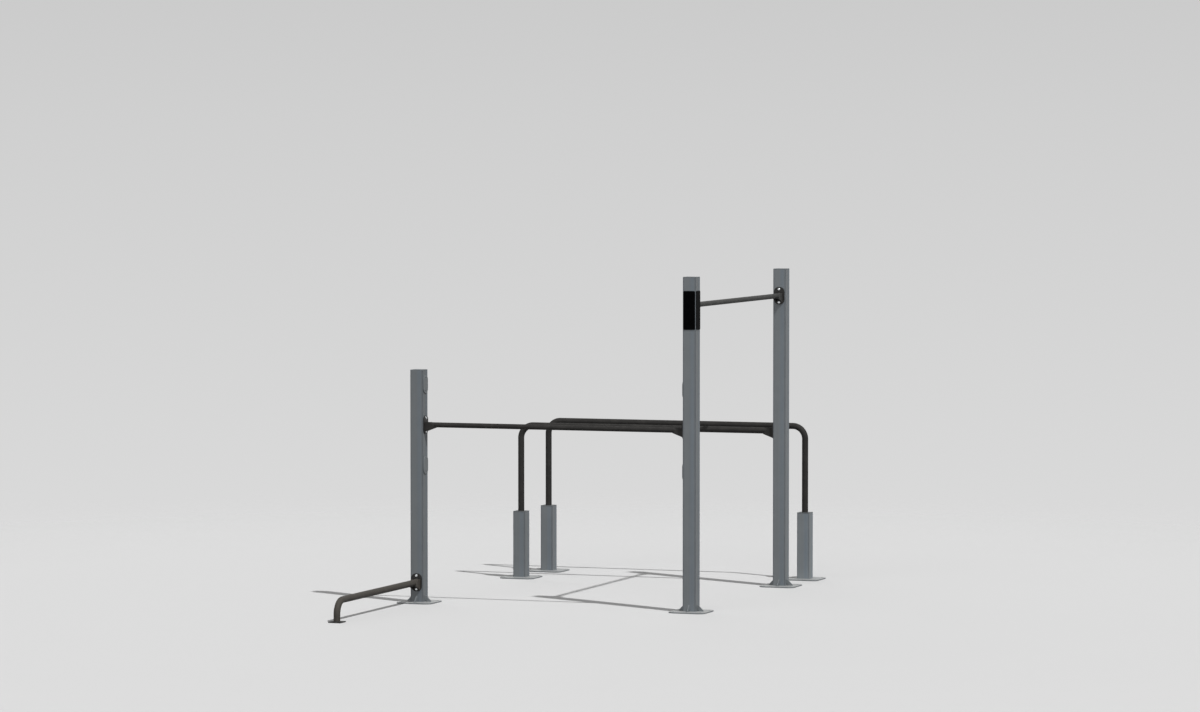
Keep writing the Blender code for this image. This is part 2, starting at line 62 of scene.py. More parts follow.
CIRCLE_STEPS = 96  # in the circle that a bead round a bar follows
SEAM_POINTS = 8  # on each half of a seam between the parts of a holed plate
RIB_CORNER_STEPS = 4
GUSSET_CORNER_STEPS = 6
SUPPORT = 0.0004  # from a rounding to the next point of the flat face beside it
BEND_SUPPORT = 0.002  # from a bend to the next point of the straight run beside it
SHARP_FROM = math.radians(32)  # edges that turn more are shaded sharp
MERGE = 1e-6  # points nearer than this become one

# Directions
RIGHT = np.array([1.0, 0.0, 0.0])
BACK = np.array([0.0, 1.0, 0.0])
UP = np.array([0.0, 0.0, 1.0])

# Shared by many pieces
GAP = 0.0003  # between pieces that touch
HOLE_CHAMFER = 0.0006
PLATE_EDGE = 0.0008  # rounding of the edges of flanges and other small plates

# Square tube of the posts and pedestals
POST_WALL = 0.003
POST_CORNER = 0.005
SAWN_EDGE = 0.0005  # chamfer at a tube's ends
FACE_PITCH = 0.09785  # round the tube, from the middle of one corner to that of the next
CORNER_MIDDLE = 0.0043  # round the tube, from the outline's first point

# Caps
CAP_THICKNESS = 0.005
CAP_ROUNDING = 0.0018
CAP_CROWN = 0.0002  # rise of the cap's middle over its edge
CAP_SHOULDER = 0.0040  # from the cap's edge in to where its top grows flatter
CAP_SHOULDER_RISE = 0.35  # share of the crown's rise there
CAP_SKIRT_WALL = 0.0025
CAP_INSET = POST_WALL + GAP  # from the post's outside to the skirt

# Base plates and ribs
BASE_CORNER = 0.050
BASE_EDGE = 0.0012
ANCHOR_REACH = 0.105  # from a post's axis to its anchor holes, both ways
ANCHOR_HOLE = 0.018
RIB_LENGTH = 0.045
RIB_HEIGHT = 0.045
RIB_THICKNESS = 0.008
RIB_TOE = 0.006  # blunt ends of the slope
RIB_CLIP = 0.012  # inner corner cut away
RIB_CORNER = 0.0012
RIB_EDGE = 0.0008

# Top plates of the pedestals
LEG_PLAY = 0.0003  # round a leg in its hole

# Bars
GRIP_WALL = 0.0035
FRAME_WALL = 0.0032
BEND_RADIUS = 0.100

# Flanges, whose outline and holes the blanking plates copy
FLANGE_WIDTH = 0.083
FLANGE_HEIGHT = 0.132
FLANGE_THICKNESS = 0.008
BLANK_THICKNESS = 0.006
FLANGE_CORNER = 0.036
BOLT_SPACING = 0.099
BOLT_HOLE = 0.0136
SCREW_HEAD = 0.0216  # width of a countersunk hole at the plate's face
SCREW_RECESS = 0.0005  # how far it goes straight down before its cone

# Foot plate of the push-up bar
FOOT_CORNER = 0.008
FOOT_REACH = 0.037  # from the plate's middle to its holes, both ways
FOOT_HOLE = 0.009

# Gussets beside the end of a bar
GUSSET_THICKNESS = 0.005
GUSSET_LENGTH = 0.082
GUSSET_SHOULDER = 0.036
GUSSET_DROP = 0.031
GUSSET_CORNER = 0.003
GUSSET_EDGE = 0.0006

# Dome-head bolts and countersunk screws, both with a hexagon socket
BOLT_DIAMETER = 0.012
HEAD_DIAMETER = 0.021
HEAD_HEIGHT = 0.0066
HEAD_RIM = 0.0012  # from the seat up to where the dome starts
HEAD_EDGE = 0.0003  # chamfer at the rim
DOME_ANGLES = (33, 42, 51, 60, 69, 78, 86, 90)  # degrees: 90 at the rim, 0 at the dome's top
SOCKET_FLATS = 0.008
SOCKET_DEPTH = 0.0035
SCREW_DIAMETER = 0.021
SCREW_EDGE = 0.0004  # width of the screw's chamfer, as deep as the bolt's
SCREW_SOCKET_DEPTH = 0.0042
SOCKET_CHAMFER = 0.0005
SOCKET_FLARE = 1.4  # width of the chamfer over its depth
SOCKET_CONE = 0.0006  # how far the socket's floor dips in the middle
TIP_CHAMFER = 0.001

# Inserts in the post walls, without their threads
INSERT_DIAMETER = 0.016
INSERT_LENGTH = 0.024
INSERT_COLLAR = 0.020
INSERT_COLLAR_LENGTH = 0.004

# Sign plates
SIGN_CORNER = 0.010
SIGN_EDGE = 0.0005

# Weld beads: their radii and their ripples
FOOT_BEAD = 0.0032  # round a post's or pedestal's foot
RIB_BEAD = 0.0022
BAR_BEAD = 0.0030  # round a bar on its flange or foot plate
GUSSET_BEAD = 0.0024
BEAD_PITCH = 0.0045  # between ripples
BEAD_SPACING = 0.0012  # between rings
BEAD_RIPPLE = 0.10  # share of the radius
SLANT_REACH = 0.4  # up and down from the bar's axis, of a gusset's slope bead, in bar radii

# The photograph's view, measured on its 1200 x 712 pixels
PICTURE_WIDTH = 1200
FOCAL_PIXELS = 4951.1
SENSOR_WIDTH = 36.0
CAMERA_AT = (11.638, -34.109, 3.587)
CAMERA_TURN = math.radians(19.898)
CAMERA_DIP = math.radians(2.724)
CAMERA_REACH = 500.0  # the farthest it sees

# Light. Each direction is towards its lamp
KEY_FROM = (0.597, -0.309, 1.0)
KEY_STRENGTH = 2.5
KEY_ANGLE = math.radians(1.0)
FILL_FROM = (0.0, -1.0, 0.42)
FILL_STRENGTH = 0.98
FILL_ANGLE = math.radians(60)
REAR_FROM = (-0.7, 1.0, 0.25)
REAR_STRENGTH = 1.0
REAR_ANGLE = math.radians(60)
SKY_STRENGTH = 0.16
BACKDROP_TOP = 0.594
BACKDROP_HORIZON = 0.629
BACKDROP_LOW = 0.734
BACKDROP_TOP_AT = 0.03  # the sine of the angle above the horizon
BACKDROP_LOW_AT = -0.122  # the same below it

# Floor
FLOOR_MIDDLE = (-1.07, 0.60, 0.0)
FLOOR_RINGS = (0, 2, 4, 6, 8, 10, 12, 16, 24, 36, 60)  # radii
FLOOR_SIDES = 64
FLOOR_FADE = (4.8, 11.0)  # distances over which it becomes clear
FLOOR_PALE = (0.708, 0.708, 0.708)  # as the camera and reflections see it
FLOOR_DIM = (0.10, 0.10, 0.10)  # as it lights the station


class Socket:
    """An output of a node. Arithmetic on it adds Math nodes to its tree."""

    def __init__(self, maker, output):
        self.maker = maker
        self.output = output

    def __add__(self, other):
        return self.maker.math("ADD", self, other)

    def __sub__(self, other):
        return self.maker.math("SUBTRACT", self, other)

    def __rsub__(self, other):
        return self.maker.math("SUBTRACT", other, self)

    def __mul__(self, other):
        return self.maker.math("MULTIPLY", self, other)

    def __truediv__(self, other):
        return self.maker.math("DIVIDE", self, other)

    __radd__ = __add__
    __rmul__ = __mul__


class Maker:
    """Adds nodes to the node tree of a material or of the world."""

    def __init__(self, owner):
        owner.use_nodes = True
        self.tree = owner.node_tree
        self.tree.nodes.clear()

    def node(self, kind, settings=None, sockets=None, output=0):
        """A node of a kind: first its settings, then the values or links of its sockets."""
        made = self.tree.nodes.new(kind)
        for name, value in (settings or {}).items():
            setattr(made, name, value)
        for name, value in (sockets or {}).items():
            if isinstance(value, Socket):
                self.tree.links.new(value.output, made.inputs[name])
            else:
                made.inputs[name].default_value = value
        return Socket(self, made.outputs[output]) if made.outputs else None

    def math(self, operation, *values):
        """One step of arithmetic on sockets and numbers."""
        return self.node("ShaderNodeMath", {"operation": operation}, dict(enumerate(values)))

    def where(self, kind="Object"):
        """Coordinates of the shaded point, by default in the object's own space."""
        return self.node("ShaderNodeTexCoord", output=kind)

    def noise(self, place, scale, detail=2.0, roughness=0.5):
        """Cloudy values round 0.5, whose lumps are about one over the scale across."""
        sockets = {"Vector": place, "Scale": scale, "Detail": detail, "Roughness": roughness}
        return self.node("ShaderNodeTexNoise", None, sockets)

    def stretched(self, place, factors):
        """Coordinates multiplied along each axis, so that a small factor draws a pattern out."""
        return self.node("ShaderNodeMapping", None, {"Vector": place, "Scale": factors})

    def step(self, value, low, high):
        """A mask that runs smoothly from 0 at the low value to 1 at the high one."""
        settings = {"interpolation_type": "SMOOTHSTEP"}
        return self.node("ShaderNodeMapRange", settings, {"Value": value, "From Min": low, "From Max": high})

    def graded(self, value, span, results):
        """Runs evenly between two results while the value runs over a span."""
        sockets = {"Value": value, "From Min": span[0], "From Max": span[1]}
        sockets |= {"To Min": results[0], "To Max": results[1]}
        return self.node("ShaderNodeMapRange", None, sockets)

    def blend(self, mask, first, second):
        """Two colours mixed by a mask. The node keeps them on its sockets 6 and 7."""
        sockets = {0: mask, 6: first, 7: second}
        return self.node("ShaderNodeMix", {"data_type": "RGBA"}, sockets, output=2)

    def bump(self, height, depth):
        """Normals of a relief whose heights run from 0 to a depth in metres."""
        sockets = {"Height": height, "Distance": depth, "Strength": 1.0}
        return self.node("ShaderNodeBump", None, sockets)

    def surface(self, **sockets):
        """The finish's Principled shader, joined to the material's output."""
        named = {name.replace("_", " "): value for name, value in sockets.items()}
        shader = self.node("ShaderNodeBsdfPrincipled", None, named)
        self.node("ShaderNodeOutputMaterial", None, {"Surface": shader})


def colour(red, green, blue):
    """A linear colour from the values of 0 to 255 that a screen shows."""
    shown = np.array([red, green, blue]) / 255
    linear = np.where(shown <= 0.04045, shown / 12.92, ((shown + 0.055) / 1.055) ** 2.4)
    return (*linear.tolist(), 1.0)


def finish(name):
    """A new material and the maker of its nodes."""
    material = bpy.data.materials.new(name)
    return material, Maker(material)


def post_paint(name, shade=1.0, drawn=True, dust_and_sheen=0.0):
    """Blue-grey satin powder coat with an orange-peel relief, soft clouds and fine specks.

    On the square tubes the coat is drawn out lengthwise: each face has a faint blue band right of
    its middle, and the corners are painted darker: painted shade. These follow the piece's UV map,
    in metres round the tube. Where there is dust and sheen, the faces that look up are painted pale: partly
    dust, partly painted sheen."""
    material, maker = finish(name)
    place = maker.where()
    grain = maker.noise(place, 420, 2)
    cloud = maker.noise(place, 9, 3)
    speck = maker.noise(place, 160, 2)
    tone = colour(119 * shade, 124 * shade, 127 * shade)
    dark = colour(92 * shade, 98 * shade, 104 * shade)
    if drawn:
        around = maker.node("ShaderNodeSeparateXYZ", None, {0: maker.where("UV")})
        sides = (around - CORNER_MIDDLE) / FACE_PITCH
        across = maker.math("FRACT", sides)
        streak = maker.noise(maker.stretched(place, (60, 60, 0.6)), 1, 2)
        band = maker.step(across, 0.45, 0.70) * (1 - maker.step(across, 0.80, 0.97))
        tone = maker.blend(band * 0.50, tone, colour(112 * shade, 125 * shade, 137 * shade))
        tone = maker.blend(maker.step(streak, 0.35, 0.75) * 0.20, tone, dark)
        # Painted shade: darker along the tube's corners
        corner = maker.step(maker.math("ABSOLUTE", across - 0.5), 0.39, 0.48)
        tone = maker.blend(corner * 0.95, tone, dark)
    pale = colour(136 * shade, 141 * shade, 144 * shade)
    tone = maker.blend(maker.step(cloud, 0.35, 0.70) * 0.18, tone, pale)
    tone = maker.blend(maker.step(speck, 0.55, 0.80) * 0.15, tone, dark)
    if dust_and_sheen:
        # Partly dust, partly painted sheen: the faces that look up are painted pale
        upward = maker.node("ShaderNodeSeparateXYZ", None, {0: maker.where("Normal")}, output=2)
        dust_and_sheen_tone = maker.blend(maker.step(speck, 0.35, 0.65), colour(163, 164, 163), colour(181, 182, 181))
        dust_and_sheen_mask = maker.step(upward, 0.85, 0.98) * (cloud * 0.6 + 0.7)
        tone = maker.blend(dust_and_sheen_mask * dust_and_sheen, tone, dust_and_sheen_tone)
    maker.surface(
        Base_Color=tone,
        Roughness=0.40 + cloud * 0.12 + grain * 0.06,
        Normal=maker.bump(grain, 0.00006),
        Specular_IOR_Level=0.50,
    )
    return material


def bar_paint(name, dark, light, worn, shine):
    """Dark satin powder coat on the bars and their flanges, with a fine sandy relief.

    Hands polish it in soft patches, which are lighter and smoother."""
    material, maker = finish(name)
    place = maker.where()
    sand = maker.noise(place, 620, 3, 0.6)
    cloud = maker.noise(place, 14, 3)
    rub = maker.noise(place, 38, 4, 0.6)
    patch = maker.step(cloud + rub * 0.5, 0.60, 1.00)
    tone = maker.blend(maker.step(sand, 0.35, 0.70), dark, light)
    polished = colour(92, 90, 87)
    tone = maker.blend(patch * worn, tone, polished)
    maker.surface(
        Base_Color=tone,
        Roughness=0.50 - patch * 0.10 + sand * 0.10,
        Normal=maker.bump(sand, 0.00009),
        Specular_IOR_Level=shine,
    )
    return material


def cap_plastic():
    """Moulded grey plastic with a fine eroded grain."""
    material, maker = finish("cap_plastic")
    place = maker.where()
    grain = maker.noise(place, 900, 2, 0.7)
    cloud = maker.noise(place, 30, 2)
    tone = maker.blend(maker.step(grain, 0.3, 0.7), colour(98, 103, 107), colour(110, 115, 118))
    tone = maker.blend(maker.step(cloud, 0.45, 0.75) * 0.25, tone, colour(120, 124, 127))
    maker.surface(
        Base_Color=tone,
        Roughness=0.52 + grain * 0.12,
        Normal=maker.bump(grain, 0.00005),
        Specular_IOR_Level=0.40,
    )
    return material


def zinc():
    """Bright zinc plating on the bolts, with soft clouds and a very fine grain."""
    material, maker = finish("zinc_plating")
    place = maker.where()
    cloud = maker.noise(place, 260, 3)
    fine = maker.noise(place, 1800, 2)
    tone = maker.blend(maker.step(cloud, 0.35, 0.70), colour(190, 192, 194), colour(222, 224, 225))
    maker.surface(
        Base_Color=tone,
        Metallic=1.0,
        Roughness=0.24 + cloud * 0.16,
        Normal=maker.bump(fine, 0.00001),
    )
    return material


def sign_black():
    """Black satin lacquer on the bare signs, with soft clouds and a faint vertical grain."""
    material, maker = finish("sign_lacquer")
    place = maker.where()
    rolled = maker.noise(maker.stretched(place, (900, 900, 40)), 1, 2)
    cloud = maker.noise(place, 40, 2)
    tone = maker.blend(maker.step(cloud, 0.35, 0.70), colour(4, 4, 5), colour(8, 8, 9))
    maker.surface(
        Base_Color=tone,
        Roughness=0.34 + rolled * 0.14,
        Normal=maker.bump(rolled, 0.00002),
        Specular_IOR_Level=0.01,
    )
    return material


def unit(vectors):
    """Vectors brought to length 1."""
    return vectors / np.linalg.norm(vectors, axis=-1, keepdims=True)


def rectangle(width, height):
    """The corners of a rectangle round the origin, anticlockwise from the lower left."""
    return np.array([(-1, -1), (1, -1), (1, 1), (-1, 1)]) * (width / 2, height / 2)


def rounded(corners, radius, steps=CORNER_STEPS):
    """Outline of a convex polygon whose corners are arcs that touch both of their sides.

    One point more beyond each end of an arc keeps the shading of the flat sides flat."""
    corners = np.asarray(corners, float)
    back = unit(np.roll(corners, 1, axis=0) - corners)
    on = unit(np.roll(corners, -1, axis=0) - corners)
    half = np.arccos((back * on).sum(1)) / 2
    reach = (radius / np.tan(half))[:, None]
    centre = corners + unit(back + on) * (radius / np.sin(half))[:, None]
    start = corners + back * reach - centre
    first = np.arctan2(start[:, 1], start[:, 0])[:, None]
    angle = first + (math.pi - 2 * half)[:, None] * np.linspace(0, 1, steps + 1)
    arcs = centre[:, None] + radius * np.stack([np.cos(angle), np.sin(angle)], -1)
    before = (corners + back * (reach + SUPPORT))[:, None]
    after = (corners + on * (reach + SUPPORT))[:, None]
    return np.concatenate([before, arcs, after], 1).reshape(-1, 2)


def mitres(sides):
    """For each point the way in that keeps an even depth, from the sides before and after it."""
    inward = unit(np.stack([-sides[:, 1], sides[:, 0]], 1))
    before = inward[:-1]
    after = inward[1:]
    return (before + after) / (1 + (before * after).sum(1, keepdims=True))


def inset(outline, depth):
    """A closed outline moved inwards by an even depth."""
    sides = np.roll(outline, -1, axis=0) - outline
    return outline + depth * mitres(np.concatenate([sides[-1:], sides]))


def open_inset(outline, depth):
    """The same for an outline with two ends, which move straight in from their own sides."""
    sides = np.diff(outline, axis=0)
    return outline + depth * mitres(np.concatenate([sides[:1], sides, sides[-1:]]))


def lift(outline, height):
    """A flat outline at a height."""
    return np.concatenate([outline, np.full((len(outline), 1), height)], 1)


def pole(ring):
    """A ring drawn together to its middle."""
    return np.repeat(ring.mean(0, keepdims=True), len(ring), 0)


def edge(low, high, rounding):
    """Inset and height of each ring round a plate's edge, from its lower to its upper face.

    The rounding is a quarter circle below and another above."""
    angle = np.linspace(0, math.pi / 2, EDGE_STEPS + 1)
    inward = rounding * (1 - np.sin(angle))
    rise = rounding * (1 - np.cos(angle))
    insets = np.concatenate([[rounding + SUPPORT], inward, inward[::-1], [rounding + SUPPORT]])
    heights = np.concatenate([[low], low + rise, high - rise[::-1], [high]])
    return np.stack([insets, heights], 1)


def sheet(points, round_rows=False, round_columns=False):
    """A surface over a grid of points, which may join up with itself either way."""
    return points, round_rows, round_columns


def slab(outline, low, high, rounding):
    """A plate: its outline carried up round the edge and drawn together over both faces."""
    rings = [lift(inset(outline, depth), height) for depth, height in edge(low, high, rounding)]
    return sheet(np.stack([pole(rings[0]), *rings, pole(rings[-1])]), round_columns=True)


def plain_bore(diameter, low, high):
    """Radius and height of each ring down through a hole with a small chamfer at both ends."""
    radius = diameter / 2
    wide = radius + HOLE_CHAMFER
    return [
        (wide + SUPPORT, high),
        (wide, high),
        (radius, high - HOLE_CHAMFER),
        (radius, low + HOLE_CHAMFER),
        (wide, low),
        (wide + SUPPORT, low),
    ]


def sunk_bore(low, high):
    """The same for a countersunk hole: straight down past the head, then a cone to the shank."""
    head = SCREW_HEAD / 2
    shank = BOLT_HOLE / 2
    sink = high - SCREW_RECESS
    return [
        (head + SUPPORT, high),
        (head, high),
        (head, sink),
        (shank, sink + shank - head),
        (shank, low),
        (shank + SUPPORT, low),
    ]


def between(start, end, count):
    """Points on a straight line, without its ends."""
    return np.linspace(start, end, count + 2)[1:-1]


def holed_plate(width, height, corner, hole, bore, low, high, rounding):
    """A plate with a hole in each quarter, or in its upper and lower half if the hole is on X = 0.

    One part of the plate lies round one hole: rays run from the hole to the plate's outline or to
    the lines between the parts, and the outline's part has the rounded edge. The other parts are
    its mirror images."""
    arcs = rounded(rectangle(width, height), corner).reshape(4, -1, 2)
    right = np.array([width / 2, 0.0])
    if hole[0] == 0:
        left = -right
        outer = np.concatenate([[right], arcs[2], arcs[3], [left]])
        shared = between(left, right, 2 * SEAM_POINTS)
        flips = [(1, 1), (1, -1)]
    else:
        top = np.array([0.0, height / 2])
        centre = np.zeros(2)
        outer = np.concatenate([[right], arcs[2], [top]])
        inward = between(top, centre, SEAM_POINTS)
        outward = between(centre, right, SEAM_POINTS)
        shared = np.concatenate([inward, [centre], outward])
        flips = [(1, 1), (1, -1), (-1, 1), (-1, -1)]
    profile = edge(low, high, rounding)
    strip = [lift(open_inset(outer, depth), level) for depth, level in profile]
    loop = np.concatenate([open_inset(outer, profile[0, 0]), shared])
    rays = unit(loop - hole)
    bores = [lift(hole + radius * rays, level) for radius, level in bore]
    faces = np.stack([lift(loop, high), *bores, lift(loop, low)])
    parts = []
    for flip_x, flip_y in flips:
        flip = (flip_x, flip_y, 1)
        parts.append(sheet(faces * flip, round_columns=True))
        parts.append(sheet(np.stack(strip) * flip))
    return parts


def turned(profile, hexagonal=0):
    """A profile of (radius, height) turned about Z. Its first rings may be hexagonal, where the
    radius is half the distance across the flats."""
    angle = np.linspace(0, math.tau, ROUND_STEPS, endpoint=False)
    radius, height = np.array(profile).T[..., None]
    flats = 1 / np.cos((angle + math.pi / 6) % (math.pi / 3) - math.pi / 6)
    radius = radius * np.where(np.arange(len(profile))[:, None] < hexagonal, flats, 1)
    rings = np.stack([radius * np.cos(angle), radius * np.sin(angle), height + 0 * angle], -1)
    return sheet(rings, round_columns=True)


def lengths(path):
    """Distance of each point of a path from its start, along the path."""
    return np.concatenate([[0], np.cumsum(np.linalg.norm(np.diff(path, axis=0), axis=1))])


def evenly(path, spacing):
    """The same path with evenly spaced points."""
    along = lengths(path)
    places = np.linspace(0, along[-1], max(BEAD_LEAST, round(along[-1] / spacing)) + 1)
    return np.stack([np.interp(places, along, path[:, axis]) for axis in range(3)], 1)


def headings(path, closed):
    """The direction of a path at each point, from the points before and after it."""
    if closed:
        return unit(np.roll(path, -1, axis=0) - np.roll(path, 1, axis=0))
    return unit(np.gradient(path, axis=0))


def carried(path, normal, radius, steps, closed=False):
    """Rings of a radius carried along a flat path whose plane has the normal given."""
    across = np.cross(headings(path, closed), normal)[:, None]
    angle = np.linspace(0, math.tau, steps, endpoint=False)[:, None]
    return path[:, None] + radius * (np.cos(angle) * across + np.sin(angle) * np.asarray(normal))


def bead(path, normal, radius, closed=False):
    """A weld bead along a path: rings that swell a little with each ripple. An open bead draws
    together at both ends as a half ellipse does."""
    path = evenly(np.concatenate([path, path[:1]]) if closed else path, BEAD_SPACING)
    along = lengths(path)
    swell = 1 + BEAD_RIPPLE * np.abs(np.sin(math.pi * along / BEAD_PITCH))
    if closed:
        ripples = round(along[-1] / BEAD_PITCH)
        swell = 1 + BEAD_RIPPLE * np.abs(np.sin(math.pi * along / along[-1] * ripples))
        rings = carried(path[:-1], normal, radius * swell[:-1, None, None], BEAD_STEPS, True)
        return sheet(rings, True, True)
    from_end = np.minimum(along, along[-1] - along) / (2 * radius)
    taper = np.sqrt(1 - (1 - np.clip(from_end, 0, 1)) ** 2)
    rings = carried(path, normal, radius * (swell * taper)[:, None, None], BEAD_STEPS)
    return sheet(rings, round_columns=True)


def pipe(path, normal, diameter, wall):
    """A hollow bar: rings of the outer radius along the path, and of the bore's radius back."""
    outer = carried(path, normal, diameter / 2, TUBE_STEPS)
    inner = carried(path, normal, diameter / 2 - wall, TUBE_STEPS)
    return sheet(np.concatenate([outer, inner[::-1]]), True, True)


def circle(radius, height):
    """Points of a circle round Z at a height."""
    angle = np.linspace(0, math.tau, CIRCLE_STEPS, endpoint=False)
    return np.stack([radius * np.cos(angle), radius * np.sin(angle), height + 0 * angle], 1)


def bend(corner, incoming, outgoing):
    """Points of a quarter-circle bend whose straight sides would meet at a corner.

    One point more before and after it keeps the shading of the straight runs even."""
    corner, incoming, outgoing = (np.array(value, float) for value in (corner, incoming, outgoing))
    angle = np.linspace(0, math.pi / 2, BEND_STEPS + 1)[:, None]
    centre = corner + BEND_RADIUS * (outgoing - incoming)
    arc = centre - BEND_RADIUS * (np.cos(angle) * outgoing - np.sin(angle) * incoming)
    before = arc[0] - BEND_SUPPORT * incoming
    after = arc[-1] + BEND_SUPPORT * outgoing
    return np.concatenate([[before], arc, [after]])


def moved(surfaces, origin, axes):
    """Surfaces in a place's own directions brought to where the place is."""
    return [(points @ np.asarray(axes) + origin, *joined) for points, *joined in surfaces]


def mesh_of(name, surfaces, joined=()):
    """One mesh of surfaces. Points that meet are merged, so seams and poles close, and the faces
    are turned outwards. The UV map holds the distances along the grid's columns and rows. The
    surfaces that are joined on take the second material."""
    points, faces, placed = [], [], []
    first = 0
    for grid, round_rows, round_columns in (*surfaces, *joined):
        rows, columns = grid.shape[:2]
        row, column = np.meshgrid(
            np.arange(rows if round_rows else rows - 1),
            np.arange(columns if round_columns else columns - 1),
            indexing="ij",
        )
        corners = [(row, column), (row, column + 1), (row + 1, column + 1), (row + 1, column)]
        numbers = [first + (r % rows) * columns + c % columns for r, c in corners]
        faces.append(np.stack(numbers, -1).reshape(-1, 4))
        wide = np.concatenate([grid, grid[:, :1]], 1)
        tall = np.concatenate([grid, grid[:1]], 0)
        u = np.concatenate([[0], np.cumsum(np.linalg.norm(np.diff(wide, axis=1), axis=2).max(0))])
        v = np.concatenate([[0], np.cumsum(np.linalg.norm(np.diff(tall, axis=0), axis=2).max(1))])
        placed.append(np.stack([np.stack([u[c], v[r]], -1) for r, c in corners], -2).reshape(-1, 2))
        points.append(grid.reshape(-1, 3))
        first += rows * columns
    mesh = bpy.data.meshes.new(name)
    mesh.from_pydata(np.concatenate(points).tolist(), [], np.concatenate(faces).tolist())
    mesh.uv_layers.new(name="metres").data.foreach_set("uv", np.concatenate(placed).ravel())
    counts = [len(part) for part in faces]
    coats = np.repeat(np.arange(len(faces)) >= len(surfaces), counts)
    mesh.polygons.foreach_set("material_index", coats.astype(np.int32))
    shape = bmesh.new()
    shape.from_mesh(mesh)
    bmesh.ops.remove_doubles(shape, verts=shape.verts, dist=MERGE)
    bmesh.ops.recalc_face_normals(shape, faces=shape.faces)
    shape.to_mesh(mesh)
    shape.free()
    mesh.shade_smooth()
    mesh.set_sharp_from_angle(angle=SHARP_FROM)
    return mesh


def add(nodes, materials, surfaces, joined=()):
    """A piece of the station, made of its surfaces, which stands for its nodes."""
    name = nodes[0] + "_finished"
    piece = bpy.data.objects.new(name, mesh_of(name, surfaces, joined))
    bpy.context.scene.collection.objects.link(piece)
    for material in materials:
        piece.data.materials.append(material)
    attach(piece, "root")
    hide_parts(*nodes)


def box(node):
    """Lowest and highest corner of a node."""
    low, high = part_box(node)
    return np.array(low), np.array(high)


def middle(node):
    """The middle of a node's box."""
    low, high = box(node)
    return (low + high) / 2


def ground_point(node):
    """The point on the ground under a node's middle."""
    return middle(node) * (1, 1, 0)


def face_place(post, upper, lower):
    """The place on a post's face midway between two fasteners, with its own three directions:
    across the face, up, and out of the face."""
    centre = (middle(upper) + middle(lower)) / 2
    away = (centre - middle(post)) * (1, 1, 0)
    axis = int(np.abs(away).argmax())
    out = np.zeros(3)
    out[axis] = np.sign(away[axis])
    centre[axis] = box(post)[int(out[axis] > 0)][axis]
    return centre, np.array([np.cross(UP, out), UP, out])


def square_tube(node):
    """The wall of a post or pedestal: its outline carried up outside and down inside."""
    low, high = box(node)
    outline = rounded(rectangle(high[0] - low[0], high[1] - low[1]), POST_CORNER)
    bore = rounded(
        rectangle(high[0] - low[0] - 2 * POST_WALL, high[1] - low[1] - 2 * POST_WALL),
        POST_CORNER - POST_WALL,
    )
    bottom, top = low[2], high[2]
    rings = [
        lift(inset(outline, SAWN_EDGE), bottom),
        lift(outline, bottom + SAWN_EDGE),
        lift(outline, top - SAWN_EDGE),
        lift(inset(outline, SAWN_EDGE), top),
        lift(bore, top),
        lift(bore, bottom),
    ]
    return sheet(np.stack(rings) + ground_point(node), True, True)


def insert(origin, axes):
    """The two inserts pressed into the post's wall at a fixing, each a collar and a plain sleeve."""
    bore = BOLT_DIAMETER / 2 + GAP
    wall = -POST_WALL / 2
    profile = [
        (bore, wall),
        (INSERT_COLLAR / 2, wall),
        (INSERT_COLLAR / 2, -POST_WALL - INSERT_COLLAR_LENGTH),
        (INSERT_DIAMETER / 2, -POST_WALL - INSERT_COLLAR_LENGTH),
        (INSERT_DIAMETER / 2, -INSERT_LENGTH),
        (bore, -INSERT_LENGTH),
    ]
    sleeves = []
    for side in (1, -1):
        points = turned(profile)[0] + (0, side * BOLT_SPACING / 2, 0)
        sleeves.append(sheet(points, True, True))
    return moved(sleeves, origin, axes)


def cap(node):
    """A moulded cap: from the crown out over the rounded edge, and down and up round the skirt."""
    low, high = box(node)
    outline = rounded(rectangle(high[0] - low[0], high[1] - low[1]), POST_CORNER)
    top = high[2]
    seat = top - CAP_THICKNESS
    turn = np.linspace(0, math.pi / 2, EDGE_STEPS + 1)
    crown = top - CAP_CROWN
    rounding = [
        (CAP_ROUNDING * (1 - math.sin(angle)), crown - CAP_ROUNDING * (1 - math.cos(angle)))
        for angle in turn
    ]
    shoulder = (CAP_SHOULDER, crown + CAP_CROWN * CAP_SHOULDER_RISE)
    profile = [shoulder, *rounding, (0.0, seat), (CAP_INSET, seat)]
    rings = [lift(inset(outline, depth), height) for depth, height in profile]
    size = high[0] - low[0] - 2 * CAP_INSET
    skirt = rounded(rectangle(size, size), POST_CORNER - POST_WALL)
    inner = rounded(
        rectangle(size - 2 * CAP_SKIRT_WALL, size - 2 * CAP_SKIRT_WALL), POST_CORNER - POST_WALL
    )
    rings += [lift(skirt, seat), lift(skirt, low[2]), lift(inner, low[2]), lift(inner, seat)]
    apex = pole(rings[0])
    apex[:, 2] = top
    return sheet(np.stack([apex, *rings, pole(rings[-1])]) + ground_point(node), round_columns=True)


def base_plate(node, post, ribbed):
    """A base plate with its weld round the tube's foot and, under a post, its four ribs."""
    low, high = box(node)
    centre = ground_point(node)
    top = box(post)[0][2]
    half = (box(post)[1][0] - box(post)[0][0]) / 2
    face = top - GAP
    width = high[0] - low[0]
    bore = plain_bore(ANCHOR_HOLE, low[2], face)
    hole = np.array([ANCHOR_REACH, ANCHOR_REACH])
    parts = holed_plate(width, width, BASE_CORNER, hole, bore, low[2], face, BASE_EDGE)
    foot = lift(rounded(rectangle(2 * half, 2 * half), POST_CORNER), face)
    parts.append(bead(foot, (0, 0, 1), FOOT_BEAD, closed=True))
    if ribbed:
        for quarter in range(4):
            angle = quarter * math.pi / 2
            axes = [
                (math.cos(angle), math.sin(angle), 0),
                (0, 0, 1),
                (math.sin(angle), -math.cos(angle), 0),
            ]
            parts += moved(rib(half + GAP, face), np.zeros(3), axes)
    return moved(parts, centre, np.eye(3))


